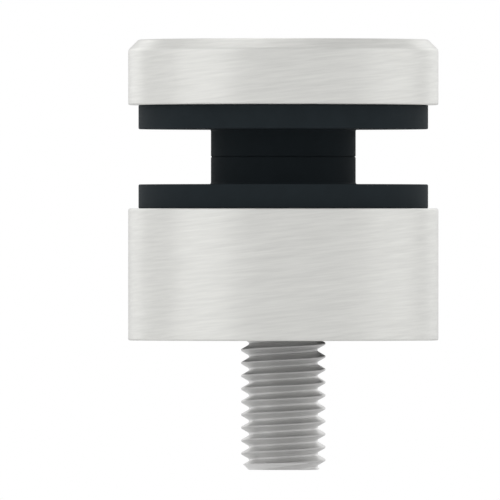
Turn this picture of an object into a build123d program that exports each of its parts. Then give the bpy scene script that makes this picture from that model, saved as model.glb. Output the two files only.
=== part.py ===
from build123d import *
import math
import os

# A point fixing that clamps a glass panel by one hole. All sizes are in millimetres.
# The axis is Z, the wall face is at z = 0, the stud reaches below it and the cap is on top.

# Turned disc of the base, with its hub and the recess behind it
head_diameter = 36.0
base_height = 15.3
base_web = 3.6
rim_wall = 3.8
edge_break = 0.2

# Cap: disc, hub and blind hole with a drilled point
cap_thickness = 7.6
cap_edge_chamfer = 1.2
cap_hub_length = 5.75
cap_crown = 1.15
drill_point_angle = 150.0
mouth_chamfer = 0.8
hub_wall = 1.57
hub_gap = 1.2

# Gaskets: two equal rings with an L section, which meet halfway through the glass
gasket_flange = 2.8
glass_slot = 6.4
collar_wall = 1.75
gasket_inset = 1.2
gasket_clearance = 0.1
collar_end_break = 0.15

# Stud: its crest diameter, the reach past the wall face and the chamfers at its ends
stud_diameter = 9.8
stud_reach = 15.0
stud_top_chamfer = 2.0
stud_tip_chamfer = 0.6
stud_end_gap = 0.17
thread_clearance = 0.08
base_bore_clearance = 0.15

# Radii, from the stud outwards
stud_radius = stud_diameter / 2
cap_hole_radius = stud_radius + thread_clearance
base_bore_radius = stud_radius + base_bore_clearance
hub_radius = cap_hole_radius + hub_wall
gasket_bore_radius = hub_radius + gasket_clearance
collar_radius = gasket_bore_radius + collar_wall
head_radius = head_diameter / 2
gasket_radius = head_radius - gasket_inset
recess_radius = head_radius - rim_wall

# Heights, from the wall face upwards
recess_ceiling = base_height - base_web
slot_floor = base_height + gasket_flange
slot_middle = slot_floor + glass_slot / 2
slot_ceiling = slot_floor + glass_slot
cap_seat = slot_ceiling + gasket_flange
cap_hub_end = cap_seat - cap_hub_length
base_hub_end = cap_hub_end - hub_gap
cap_top = cap_seat + cap_thickness

# The drilled point rises towards the axis, and the stud ends just under it
drill_slope = 1 / math.tan(math.radians(drill_point_angle / 2))
drill_apex = cap_top - cap_crown
cap_hole_end = drill_apex - cap_hole_radius * drill_slope
stud_end_radius = stud_radius - stud_top_chamfer
stud_top = drill_apex - stud_end_radius * drill_slope - stud_end_gap


def turned(outline):
    """Turn a closed outline of (radius, height) points about the axis."""
    with BuildPart() as piece:
        with BuildSketch(Plane.XZ):
            with BuildLine():
                Polyline(*outline, close=True)
            make_face()
        revolve(axis=Axis.Z)
    return piece.part


def rings(piece, *places):
    """The round edges of a turned piece at the given (radius, height) places."""
    found = []
    for edge in piece.edges().filter_by(GeomType.CIRCLE):
        for radius, height in places:
            if math.isclose(edge.radius, radius) and math.isclose(edge.arc_center.Z, height, abs_tol=1e-6):
                found.append(edge)
    return found


def make_base():
    """Disc with a hub on top, a bore for the stud and a recess that leaves a rim on the wall."""
    base = turned([
        (recess_radius, 0),
        (head_radius, 0),
        (head_radius, base_height),
        (hub_radius, base_height),
        (hub_radius, base_hub_end),
        (base_bore_radius, base_hub_end),
        (base_bore_radius, recess_ceiling),
        (recess_radius, recess_ceiling),
    ])
    edges = rings(
        base,
        (recess_radius, 0),
        (head_radius, 0),
        (head_radius, base_height),
        (hub_radius, base_hub_end),
        (base_bore_radius, base_hub_end),
        (base_bore_radius, recess_ceiling),
    )
    return chamfer(edges, edge_break)


def make_cap():
    """Disc with a hub below it and a blind hole that ends in a drilled point."""
    cap = turned([
        (0, drill_apex),
        (cap_hole_radius, cap_hole_end),
        (cap_hole_radius, cap_hub_end),
        (hub_radius, cap_hub_end),
        (hub_radius, cap_seat),
        (head_radius, cap_seat),
        (head_radius, cap_top),
        (0, cap_top),
    ])
    cap = chamfer(rings(cap, (hub_radius, cap_hub_end), (head_radius, cap_seat)), edge_break)
    cap = chamfer(rings(cap, (cap_hole_radius, cap_hub_end)), mouth_chamfer)
    return chamfer(rings(cap, (head_radius, cap_top)), cap_edge_chamfer)


def make_lower_gasket():
    """Moulded ring with an L section: the flange lies on the base and the collar stands in the glass."""
    gasket = turned([
        (gasket_bore_radius, base_height),
        (gasket_radius, base_height),
        (gasket_radius, slot_floor),
        (collar_radius, slot_floor),
        (collar_radius, slot_middle),
        (gasket_bore_radius, slot_middle),
    ])
    return chamfer(rings(gasket, (collar_radius, slot_middle)), collar_end_break)


def make_upper_gasket():
    """The same moulding turned over, its collar end against the lower one."""
    return mirror(make_lower_gasket(), about=Plane.XY.offset(slot_middle))


def make_threaded_stud():
    """Headless stud, chamfered at both ends. The cylinder is the crest of its thread."""
    stud = turned([
        (0, -stud_reach),
        (stud_radius, -stud_reach),
        (stud_radius, stud_top),
        (0, stud_top),
    ])
    stud = chamfer(rings(stud, (stud_radius, -stud_reach)), stud_tip_chamfer)
    return chamfer(rings(stud, (stud_radius, stud_top)), stud_top_chamfer)


pieces = {
    "base": make_base(),
    "lower_gasket": make_lower_gasket(),
    "upper_gasket": make_upper_gasket(),
    "cap": make_cap(),
    "threaded_stud": make_threaded_stud(),
}

os.makedirs("parts", exist_ok=True)
for name, piece in pieces.items():
    export_step(piece, f"parts/{name}.step")
    print(name, round(piece.volume, 1), "mm3", "top at", round(piece.bounding_box().max.Z, 3))
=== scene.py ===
import math

import bmesh
import bpy
import mathutils
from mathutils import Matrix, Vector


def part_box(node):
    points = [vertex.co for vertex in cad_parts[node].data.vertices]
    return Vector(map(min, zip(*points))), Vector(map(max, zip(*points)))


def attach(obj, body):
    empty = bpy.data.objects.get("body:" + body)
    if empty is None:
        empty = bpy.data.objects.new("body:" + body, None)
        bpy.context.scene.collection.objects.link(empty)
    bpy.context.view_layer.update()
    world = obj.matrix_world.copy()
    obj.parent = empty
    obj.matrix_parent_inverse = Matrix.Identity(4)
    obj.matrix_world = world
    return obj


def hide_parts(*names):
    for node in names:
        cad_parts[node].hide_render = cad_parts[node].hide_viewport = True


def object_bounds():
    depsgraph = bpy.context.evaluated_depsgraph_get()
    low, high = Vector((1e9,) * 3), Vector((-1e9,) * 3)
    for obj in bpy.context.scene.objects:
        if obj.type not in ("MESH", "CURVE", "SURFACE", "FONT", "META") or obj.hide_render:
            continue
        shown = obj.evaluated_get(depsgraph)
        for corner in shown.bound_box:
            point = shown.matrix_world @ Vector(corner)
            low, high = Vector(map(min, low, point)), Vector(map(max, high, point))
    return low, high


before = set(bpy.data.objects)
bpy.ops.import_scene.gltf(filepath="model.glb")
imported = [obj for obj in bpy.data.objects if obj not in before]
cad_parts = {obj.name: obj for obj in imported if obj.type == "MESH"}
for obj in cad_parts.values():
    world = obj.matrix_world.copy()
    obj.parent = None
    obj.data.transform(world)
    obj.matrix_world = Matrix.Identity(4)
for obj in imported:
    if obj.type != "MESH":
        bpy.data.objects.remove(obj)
cad_low, cad_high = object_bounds()

# Threaded stud: a headless M10 rod of stainless steel, its thread rolled from end to end and a
# chamfer turned on both ends. It is screwed into the wall, and the base and the cap go over it.
stud_low, stud_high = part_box("threaded_stud")
stud_radius = stud_high.x
stud_tip_chamfer = 0.00085
stud_top_chamfer = 0.0020
blank_allowance = 0.0003
thread_pitch = 0.0015
thread_depth = 0.00092
thread_half_angle = math.radians(30)
thread_root_flat = 0.00025
thread_root_rounding = 0.00012
thread_crest_rounding = 0.00008
thread_phase = 0.255
thread_start_angle = math.radians(0.9)
thread_steps_a_turn = 96
round_steps = 192
support_width = 0.00004
shortest_supported = 8 * support_width
merge_distance = 1e-6
sharp_angle = math.radians(32)
pattern_radius = 3 * stud_radius
pattern_roughness = 0.55
rolled_line_width = 0.00012
rolled_line_length = 0.004
rolled_line_depth = 0.00004
turned_ring_width = 0.00016
turned_ring_length = 0.02
turned_ring_depth = 0.00003
# Painted light and shade on the thread: the roots are coloured lighter and the crests darker, to even
# out the bands of light on it
stud_root_lit_color = (0.655, 0.652, 0.645, 1)
stud_crest_shaded_color = (0.56, 0.557, 0.55, 1)
stud_end_color = (0.71, 0.707, 0.70)


def draw_section(corners, closed, corner_steps=4):
    """Draws a section beside the axis. A corner is (radius, height) or (radius, height, rounding)."""
    shape = bmesh.new()
    points = [shape.verts.new((corner[0], 0, corner[1])) for corner in corners]
    for start, end in zip(points, points[1:] + points[:1] * closed):
        shape.edges.new((start, end))
    for rounding in sorted({corner[2] for corner in corners if len(corner) > 2}):
        chosen = [point for point, corner in zip(points, corners) if corner[2:] == (rounding,)]
        bmesh.ops.bevel(
            shape,
            geom=chosen,
            offset=rounding,
            offset_type="OFFSET",
            segments=corner_steps,
            profile=0.5,
            affect="VERTICES",
            material=-1,
        )
    return shape


def finish_piece(name, shape):
    """Makes a shape an object of the scene, smooth where it is round and sharp at its edges."""
    bmesh.ops.recalc_face_normals(shape, faces=shape.faces)
    mesh = bpy.data.meshes.new(name)
    shape.to_mesh(mesh)
    shape.free()
    mesh.shade_smooth()
    mesh.set_sharp_from_angle(angle=sharp_angle)
    piece = bpy.data.objects.new(name, mesh)
    bpy.context.scene.collection.objects.link(piece)
    return piece


def turned_piece(name, corners, closed=True):
    """Turns a section about the axis. Long lines get a point near each end, so they shade flat."""
    shape = draw_section(corners, closed)
    for line in list(shape.edges):
        if line.calc_length() > shortest_supported:
            start, end = line.verts
            added, _ = bmesh.utils.edge_split(line, start, support_width / line.calc_length())
            rest = line if end in line.verts else added
            bmesh.utils.edge_split(rest, end, support_width / rest.calc_length())
    bmesh.ops.spin(
        shape,
        geom=shape.verts[:] + shape.edges[:],
        cent=(0, 0, 0),
        axis=(0, 0, 1),
        angle=math.tau,
        steps=round_steps,
        use_merge=True,
    )
    bmesh.ops.remove_doubles(shape, verts=shape.verts, dist=merge_distance)
    return finish_piece(name, shape)


def threaded_piece(name, crest_radius, low, high):
    """A right-hand thread from one height to another, cut square at both. All have one phase.

    It starts at a small angle, so that its edges cross those of a turned piece and never lie on them.
    """
    root_radius = crest_radius - thread_depth
    flank_foot = thread_root_flat / 2
    flank_head = flank_foot + thread_depth * math.tan(thread_half_angle)
    shape = draw_section(
        [
            (root_radius, 0),
            (root_radius, flank_foot, thread_root_rounding),
            (crest_radius, flank_head, thread_crest_rounding),
            (crest_radius, thread_pitch - flank_head, thread_crest_rounding),
            (root_radius, thread_pitch - flank_foot, thread_root_rounding),
            (root_radius, thread_pitch),
        ],
        closed=False,
        corner_steps=2,
    )
    bmesh.ops.spin(
        shape,
        geom=shape.verts[:] + shape.edges[:],
        cent=(0, 0, 0),
        axis=(0, 0, 1),
        dvec=(0, 0, thread_pitch / thread_steps_a_turn),
        angle=math.tau,
        steps=thread_steps_a_turn,
    )
    bmesh.ops.rotate(
        shape, verts=shape.verts, matrix=mathutils.Matrix.Rotation(thread_start_angle, 3, "Z")
    )
    phase = thread_phase + thread_start_angle / math.tau
    start = stud_low.z + phase * thread_pitch
    # A turn reaches two pitches up from its start. The one to spare at either end is cut off again
    first_turn = math.floor((low - start) / thread_pitch) - 2
    last_turn = math.ceil((high - start) / thread_pitch) + 1
    one_turn = shape.verts[:] + shape.edges[:] + shape.faces[:]
    for turn in range(first_turn, last_turn):
        copied = bmesh.ops.duplicate(shape, geom=one_turn)["geom"]
        copied_points = [part for part in copied if isinstance(part, bmesh.types.BMVert)]
        bmesh.ops.translate(
            shape, verts=copied_points, vec=(0, 0, start + turn * thread_pitch)
        )
    bmesh.ops.delete(
        shape, geom=[part for part in one_turn if isinstance(part, bmesh.types.BMVert)]
    )
    bmesh.ops.remove_doubles(shape, verts=shape.verts, dist=merge_distance)
    for height, away in ((low, -1), (high, 1)):
        bmesh.ops.bisect_plane(
            shape,
            geom=shape.verts[:] + shape.edges[:] + shape.faces[:],
            plane_co=(0, 0, height),
            plane_no=(0, 0, away),
            clear_outer=True,
        )
        end_edges = [edge for edge in shape.edges if edge.is_boundary]
        bmesh.ops.edgeloop_fill(shape, edges=[
            edge for edge in end_edges if abs(edge.verts[0].co.z - height) < merge_distance
        ])
    return finish_piece(name, shape)


def carve(piece, tool, operation):
    """Cuts a piece with a tool of the same axis, or keeps what they share, and drops the tool."""
    cut = piece.modifiers.new("cut", "BOOLEAN")
    cut.operation = operation
    cut.object = tool
    cut.solver = "MANIFOLD"
    carved = bpy.data.meshes.new_from_object(
        piece.evaluated_get(bpy.context.evaluated_depsgraph_get())
    )
    piece.modifiers.clear()
    piece.data = carved
    carved.shade_smooth()
    carved.set_sharp_from_angle(angle=sharp_angle)
    bpy.data.objects.remove(tool)


def node_adder(tree):
    """A function that adds a node to a tree, and sets its inputs or links them to other nodes.

    An input goes by its name, or by its number where the node has several of one name.
    """
    def add(kind, values=(), **settings):
        node = tree.nodes.new("ShaderNode" + kind)
        for key, value in settings.items():
            setattr(node, key, value)
        for socket, value in dict(values).items():
            if isinstance(value, bpy.types.NodeSocket):
                tree.links.new(value, node.inputs[socket])
            else:
                node.inputs[socket].default_value = value
        return node

    return add


def new_finish(name, **values):
    """A material with plain values on its shader, and functions that add a node and link one."""
    finish = bpy.data.materials.new(name)
    finish.use_nodes = True
    shader = finish.node_tree.nodes["Principled BSDF"]
    for socket, value in values.items():
        shader.inputs[socket.replace("_", " ")].default_value = value

    def link(value, socket):
        finish.node_tree.links.new(value, shader.inputs[socket])

    return finish, node_adder(finish.node_tree), link


def turned_lines(add, width, length, slope=0.0, detail=3.0):
    """Noise drawn out round the axis, in lines that rise at a slope. Gives the radius as well.

    The lines have the given length at pattern_radius, and are shorter nearer to the axis.
    """
    place = add("TexCoord").outputs["Object"]
    flat = add("VectorMath", {0: place, 1: (1, 1, 0)}, operation="MULTIPLY").outputs[0]
    outwards = add("VectorMath", {0: flat}, operation="NORMALIZE").outputs[0]
    round_part = add(
        "VectorMath", {0: outwards, "Scale": pattern_radius / length}, operation="SCALE"
    ).outputs[0]
    height = add(
        "VectorMath", {0: place, 1: (-slope, 0, 1)}, operation="DOT_PRODUCT"
    ).outputs["Value"]
    lifted = add("Math", {0: height, 1: 1 / width}, operation="MULTIPLY").outputs[0]
    upright = add("CombineXYZ", {"Z": lifted}).outputs[0]
    spot = add("VectorMath", {0: round_part, 1: upright}, operation="ADD").outputs[0]
    radius = add("VectorMath", {0: flat}, operation="LENGTH").outputs["Value"]
    ring = add("Math", {0: radius, 1: 1 / width}, operation="MULTIPLY").outputs[0]
    noise = add(
        "TexNoise",
        {"Vector": spot, "W": ring, "Scale": 1.0, "Detail": detail, "Roughness": pattern_roughness},
        noise_dimensions="4D",
    )
    return noise.outputs["Fac"], radius


def ranged(add, pattern, low, high):
    """A number that a pattern moves between two limits."""
    return add("MapRange", {"Value": pattern, "To Min": low, "To Max": high}).outputs[0]


def shaded(add, color, pattern, share):
    """A colour that a pattern darkens and lightens by up to a share of it."""
    shade = ranged(add, pattern, 1 - share, 1 + share)
    return add("VectorMath", {0: color, "Scale": shade}, operation="SCALE").outputs[0]


def bumped(add, pattern, strength, depth):
    """The direction of a surface that a pattern makes uneven."""
    return add("Bump", {"Height": pattern, "Strength": strength, "Distance": depth}).outputs[0]


def turned_finish(name, color, roughness):
    """Metal as the tool of a lathe leaves it, with fine rings round the axis."""
    finish, add, link = new_finish(name, Roughness=roughness, Metallic=1.0)
    rings, _ = turned_lines(add, turned_ring_width, turned_ring_length)
    link(shaded(add, color, rings, share=0.2), "Base Color")
    link(bumped(add, rings, strength=0.3, depth=turned_ring_depth), "Normal")
    return finish


blank_radius = stud_radius + blank_allowance
stud = turned_piece(
    "stud",
    [
        (0, stud_low.z),
        (stud_radius - stud_tip_chamfer, stud_low.z),
        (blank_radius, stud_low.z + stud_tip_chamfer + blank_allowance),
        (blank_radius, stud_high.z - stud_top_chamfer - blank_allowance),
        (stud_radius - stud_top_chamfer, stud_high.z),
        (0, stud_high.z),
    ],
    closed=False,
)
rolled_thread = threaded_piece(
    "rolled_thread", stud_radius, stud_low.z - thread_pitch, stud_high.z + thread_pitch
)

rolled_steel, add, link = new_finish(
    "rolled_steel", Roughness=0.44, Metallic=1.0, Anisotropic=0.85, Anisotropic_Rotation=0.25
)
link(add("Tangent", direction_type="RADIAL", axis="Z").outputs[0], "Tangent")
lines, radius = turned_lines(add, rolled_line_width, rolled_line_length)
# Painted light and shade: the colour goes from a lighter root to a darker crest, which evens out the
# bright and dark bands of the thread
crest_shade_share = add("MapRange", {
    "Value": radius,
    "From Min": stud_radius - thread_depth,
    "From Max": stud_radius,
}).outputs[0]
lit_and_shaded_thread_color = add(
    "Mix", {0: crest_shade_share, 6: stud_root_lit_color, 7: stud_crest_shaded_color}, data_type="RGBA"
).outputs[2]
link(shaded(add, lit_and_shaded_thread_color, lines, share=0.15), "Base Color")
link(bumped(add, lines, strength=0.25, depth=rolled_line_depth), "Normal")

# The blank brings the cut steel of the ends and their chamfers, and the thread the rolled steel
stud.data.materials.append(rolled_steel)
stud.data.materials.append(turned_finish("cut_steel", stud_end_color, roughness=0.30))
for face in stud.data.polygons:
    face.material_index = 1
rolled_thread.data.materials.append(rolled_steel)
carve(stud, rolled_thread, "INTERSECT")
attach(stud, "wall_side")
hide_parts("threaded_stud")

# Base: a disc turned from stainless bar and ground along its rim. A hub on top carries the lower
# gasket, a bore lets the stud through, and a deep recess leaves a rim that stands on the wall.
base_low, base_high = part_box("base")
lower_low, lower_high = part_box("lower_gasket")
head_radius = base_high.x
edge_break = 0.0002
hub_radius = 0.00655
base_bore_radius = 0.00505
rim_wall = 0.0038
base_web = 0.0036
recess_corner = 0.0003
recess_ceiling = lower_low.z - base_web
streak_width = 0.00030
streak_length = 0.004
hair_width = 0.00008
hair_length = 0.003
hair_depth = 0.00002
grinding_slope = 0.11
ground_least_rough = 0.34
ground_most_rough = 0.50
ground_color = (0.77, 0.77, 0.745)
ground_edge_tint = (0.80, 0.80, 0.80, 1)
# Painted shade: the recess is coloured darker than the ground steel, as shade falls inside it
recess_painted_shade_color = (0.46, 0.462, 0.46)

base = turned_piece("base_disc", [
    (head_radius - rim_wall, base_low.z, edge_break),
    (head_radius, base_low.z, edge_break),
    (head_radius, lower_low.z, edge_break),
    (hub_radius, lower_low.z),
    (hub_radius, base_high.z, edge_break),
    (base_bore_radius, base_high.z, edge_break),
    (base_bore_radius, recess_ceiling, edge_break),
    (head_radius - rim_wall, recess_ceiling, recess_corner),
])

ground_steel, add, link = new_finish(
    "ground_steel",
    Metallic=1.0,
    Specular_Tint=ground_edge_tint,
    Anisotropic=0.6,
    Anisotropic_Rotation=0.25,
)
streaks, _ = turned_lines(add, streak_width, streak_length, grinding_slope)
hairs, _ = turned_lines(add, hair_width, hair_length, grinding_slope, detail=2.0)
link(shaded(add, ground_color, streaks, share=0.14), "Base Color")
link(ranged(add, hairs, ground_least_rough, ground_most_rough), "Roughness")
link(bumped(add, hairs, strength=0.2, depth=hair_depth), "Normal")
link(add("Tangent", direction_type="RADIAL", axis="Z").outputs[0], "Tangent")

# The recess is only turned, and the rest of the base is ground. The recess is also coloured darker,
# which is painted shade
base.data.materials.append(ground_steel)
base.data.materials.append(turned_finish("turned_steel", recess_painted_shade_color, roughness=0.38))
for face in base.data.polygons:
    inside = face.center.xy.length < head_radius - rim_wall
    face.material_index = int(inside and face.center.z < recess_ceiling + edge_break)
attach(base, "wall_side")
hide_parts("base")

# Lower gasket: a ring moulded in dark rubber with an L section. Its flange lies on the base and
# keeps the glass off the metal, and its collar stands up in the hole of the glass.
gasket_radius = lower_high.x
gasket_flange = 0.0028
gasket_bore_radius = 0.00665
collar_radius = 0.0084
gasket_edge = 0.00015
collar_root = 0.00025
grains_a_metre = 9000.0
clouds_a_metre = 350.0
grain_depth = 0.00002
rubber_least_rough = 0.70
rubber_most_rough = 0.90
rubber_color = (0.0149, 0.0209, 0.0248)

lower_gasket = turned_piece("lower_ring", [
    (gasket_bore_radius, lower_low.z, gasket_edge),
    (gasket_radius, lower_low.z, gasket_edge),
    (gasket_radius, lower_low.z + gasket_flange, gasket_edge),
    (collar_radius, lower_low.z + gasket_flange, collar_root),
    (collar_radius, lower_high.z, gasket_edge),
    (gasket_bore_radius, lower_high.z, gasket_edge),
])

rubber, add, link = new_finish("dark_rubber", Specular_IOR_Level=0.12)
place = add("TexCoord").outputs["Object"]
grain = add("TexNoise", {"Vector": place, "Scale": grains_a_metre, "Detail": 4.0}).outputs["Fac"]
cloud = add("TexNoise", {"Vector": place, "Scale": clouds_a_metre, "Detail": 2.0}).outputs["Fac"]
link(shaded(add, rubber_color, cloud, share=0.15), "Base Color")
link(ranged(add, grain, rubber_least_rough, rubber_most_rough), "Roughness")
link(bumped(add, grain, strength=0.25, depth=grain_depth), "Normal")

lower_gasket.data.materials.append(rubber)
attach(lower_gasket, "wall_side")
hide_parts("lower_gasket")

# Upper gasket: the same moulding turned over. It fits on the cap's hub, its collar end meets the
# lower one halfway through the glass, and it comes up with the cap when that is unscrewed.
upper_low, upper_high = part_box("upper_gasket")
upper_gasket = turned_piece("upper_ring", [
    (gasket_bore_radius, upper_high.z, gasket_edge),
    (gasket_radius, upper_high.z, gasket_edge),
    (gasket_radius, upper_high.z - gasket_flange, gasket_edge),
    (collar_radius, upper_high.z - gasket_flange, collar_root),
    (collar_radius, upper_low.z, gasket_edge),
    (gasket_bore_radius, upper_low.z, gasket_edge),
])
upper_gasket.data.materials.append(rubber)
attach(upper_gasket, "upper_seal")
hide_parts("upper_gasket")

# Cap: a disc turned from stainless bar with a chamfered front edge. The hub below it is drilled
# and tapped M10, and screws down the stud until the flanges hold the glass.
cap_low, cap_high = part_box("cap")
cap_edge_chamfer = 0.0012
cap_edge_rounding = 0.0002
cap_crown = 0.00115
drill_apex = cap_high.z - cap_crown
drill_half_angle = math.radians(75)
drill_slope = 1 / math.tan(drill_half_angle)
tapping_radius = 0.00425
thread_clearance = 0.00008
tap_radius = stud_radius + thread_clearance
tap_end_gap = 0.0030
mouth_chamfer = 0.0008

cap = turned_piece(
    "cap_disc",
    [
        (0, drill_apex),
        (tapping_radius, drill_apex - tapping_radius * drill_slope),
        (tapping_radius, cap_low.z + tap_radius + mouth_chamfer - tapping_radius),
        (tap_radius + mouth_chamfer, cap_low.z),
        (hub_radius, cap_low.z, edge_break),
        (hub_radius, upper_high.z),
        (head_radius, upper_high.z, edge_break),
        (head_radius, cap_high.z - cap_edge_chamfer, cap_edge_rounding),
        (head_radius - cap_edge_chamfer, cap_high.z, cap_edge_rounding),
        (0, cap_high.z),
    ],
    closed=False,
)
tap = threaded_piece("tap", tap_radius, cap_low.z - thread_pitch, cap_high.z - tap_end_gap)
cap.data.materials.append(ground_steel)
tap.data.materials.append(ground_steel)
carve(cap, tap, "DIFFERENCE")
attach(cap, "screw_cap")
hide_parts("cap")

# Floor: a pale sheet well below the stud, so that the fixing stands clear of it. It fades into the
# white behind it, and it can't be seen from below.
floor_drop = 0.015
floor_half_width = 0.45
floor_full_to = 0.12
floor_color = (0.93, 0.93, 0.93, 1)

floor_shape = bmesh.new()
bmesh.ops.create_grid(floor_shape, x_segments=1, y_segments=1, size=floor_half_width)
bmesh.ops.translate(floor_shape, verts=floor_shape.verts, vec=(0, 0, stud_low.z - floor_drop))
floor = finish_piece("floor", floor_shape)

floor_paint, add, _ = new_finish("pale_floor", Base_Color=floor_color, Roughness=0.9)
place = add("TexCoord").outputs["Object"]
away = add("VectorMath", {0: place}, operation="LENGTH").outputs["Value"]
faded = add(
    "MapRange",
    {"Value": away, "From Min": floor_full_to, "From Max": floor_half_width},
    interpolation_type="SMOOTHSTEP",
).outputs[0]
below = add("NewGeometry").outputs["Backfacing"]
unseen = add("Math", {0: faded, 1: below}, operation="MAXIMUM").outputs[0]
clear = add("BsdfTransparent").outputs[0]
painted = floor_paint.node_tree.nodes["Principled BSDF"].outputs[0]
shown = add("MixShader", {0: unseen, 1: painted, 2: clear}).outputs[0]
floor_output = floor_paint.node_tree.nodes["Material Output"]
floor_paint.node_tree.links.new(shown, floor_output.inputs["Surface"])
floor.data.materials.append(floor_paint)

# Studio: a white world behind the fixing. As a reflection it dims towards the right of the front
# and overhead, as a light it is level, and five large soft lamps stand in it.
world_light = 0.75
world_dimmest = 0.83
world_brightest = 0.88
world_bright_side = (-0.5, 0.85, 0.15)
world_overhead = 0.78
overhead_from = 0.3

world = bpy.data.worlds.new("studio")
world.use_nodes = True
bpy.context.scene.world = world
add = node_adder(world.node_tree)
rays = add("LightPath").outputs
towards = add("TexCoord").outputs["Generated"]
side = add(
    "VectorMath", {0: towards, 1: world_bright_side}, operation="DOT_PRODUCT"
).outputs["Value"]
side_level = add("MapRange", {
    "Value": side,
    "From Min": -1.0,
    "To Min": world_dimmest,
    "To Max": world_brightest,
}).outputs[0]
upwards = add("SeparateXYZ", {0: towards}).outputs["Z"]
overhead_level = add("MapRange", {
    "Value": upwards,
    "From Min": overhead_from,
    "To Min": 1.0,
    "To Max": world_overhead,
}).outputs[0]
reflected = add("Math", {0: side_level, 1: overhead_level}, operation="MULTIPLY").outputs[0]
indirect = add("Mix", {0: rays["Is Glossy Ray"], 2: world_light, 3: reflected}).outputs[0]
direct = add(
    "Math", {0: rays["Is Camera Ray"], 1: rays["Is Transmission Ray"]}, operation="MAXIMUM"
).outputs[0]
level = add("Mix", {0: direct, 2: indirect, 3: 1.0}).outputs[0]
background = world.node_tree.nodes["Background"]
background.inputs["Color"].default_value = (1, 1, 1, 1)
world.node_tree.links.new(level, background.inputs["Strength"])


def soft_lamp(name, place, width, power):
    """A square lamp that looks at the middle of the fixing."""
    light = bpy.data.lights.new(name, "AREA")
    light.size = width
    light.energy = power
    lamp = bpy.data.objects.new(name, light)
    bpy.context.scene.collection.objects.link(lamp)
    lamp.location = place
    middle = (cad_low + cad_high) / 2
    lamp.rotation_euler = (middle - lamp.location).to_track_quat("-Z", "Y").to_euler()


soft_lamp("left_lamp", place=(-0.56, -0.30, 0.22), width=0.60, power=0.33)
soft_lamp("right_lamp", place=(0.60, 0.00, 0.25), width=0.60, power=0.23)
soft_lamp("back_left_lamp", place=(-0.38, 0.56, 0.20), width=0.40, power=0.28)
soft_lamp("back_right_lamp", place=(0.33, 0.60, 0.20), width=0.40, power=0.26)
soft_lamp("top_lamp", place=(-0.12, 0.28, 0.74), width=0.40, power=0.50)

# Camera: far off with a long lens, square to the axis as in the picture, which shows the wall
# face and the axis at known pixels.
picture_pixels = 500
pixels_per_metre = 8620
axis_pixel = 283.3
wall_face_pixel = 340.4
lens_length = 1.5
sensor_width = 0.036
millimetres_a_metre = 1000
farthest_seen = 10

view_width = picture_pixels / pixels_per_metre
camera_data = bpy.data.cameras.new("camera")
camera_data.sensor_width = sensor_width * millimetres_a_metre
camera_data.lens = lens_length * millimetres_a_metre
camera_data.clip_end = farthest_seen
camera = bpy.data.objects.new("camera", camera_data)
bpy.context.scene.collection.objects.link(camera)
camera.location = (
    (picture_pixels / 2 - axis_pixel) / pixels_per_metre,
    -view_width * lens_length / sensor_width,
    (wall_face_pixel - picture_pixels / 2) / pixels_per_metre,
)
camera.rotation_euler = (math.radians(90), 0, 0)
bpy.context.scene.camera = camera
bpy.context.scene.view_settings.view_transform = "Standard"
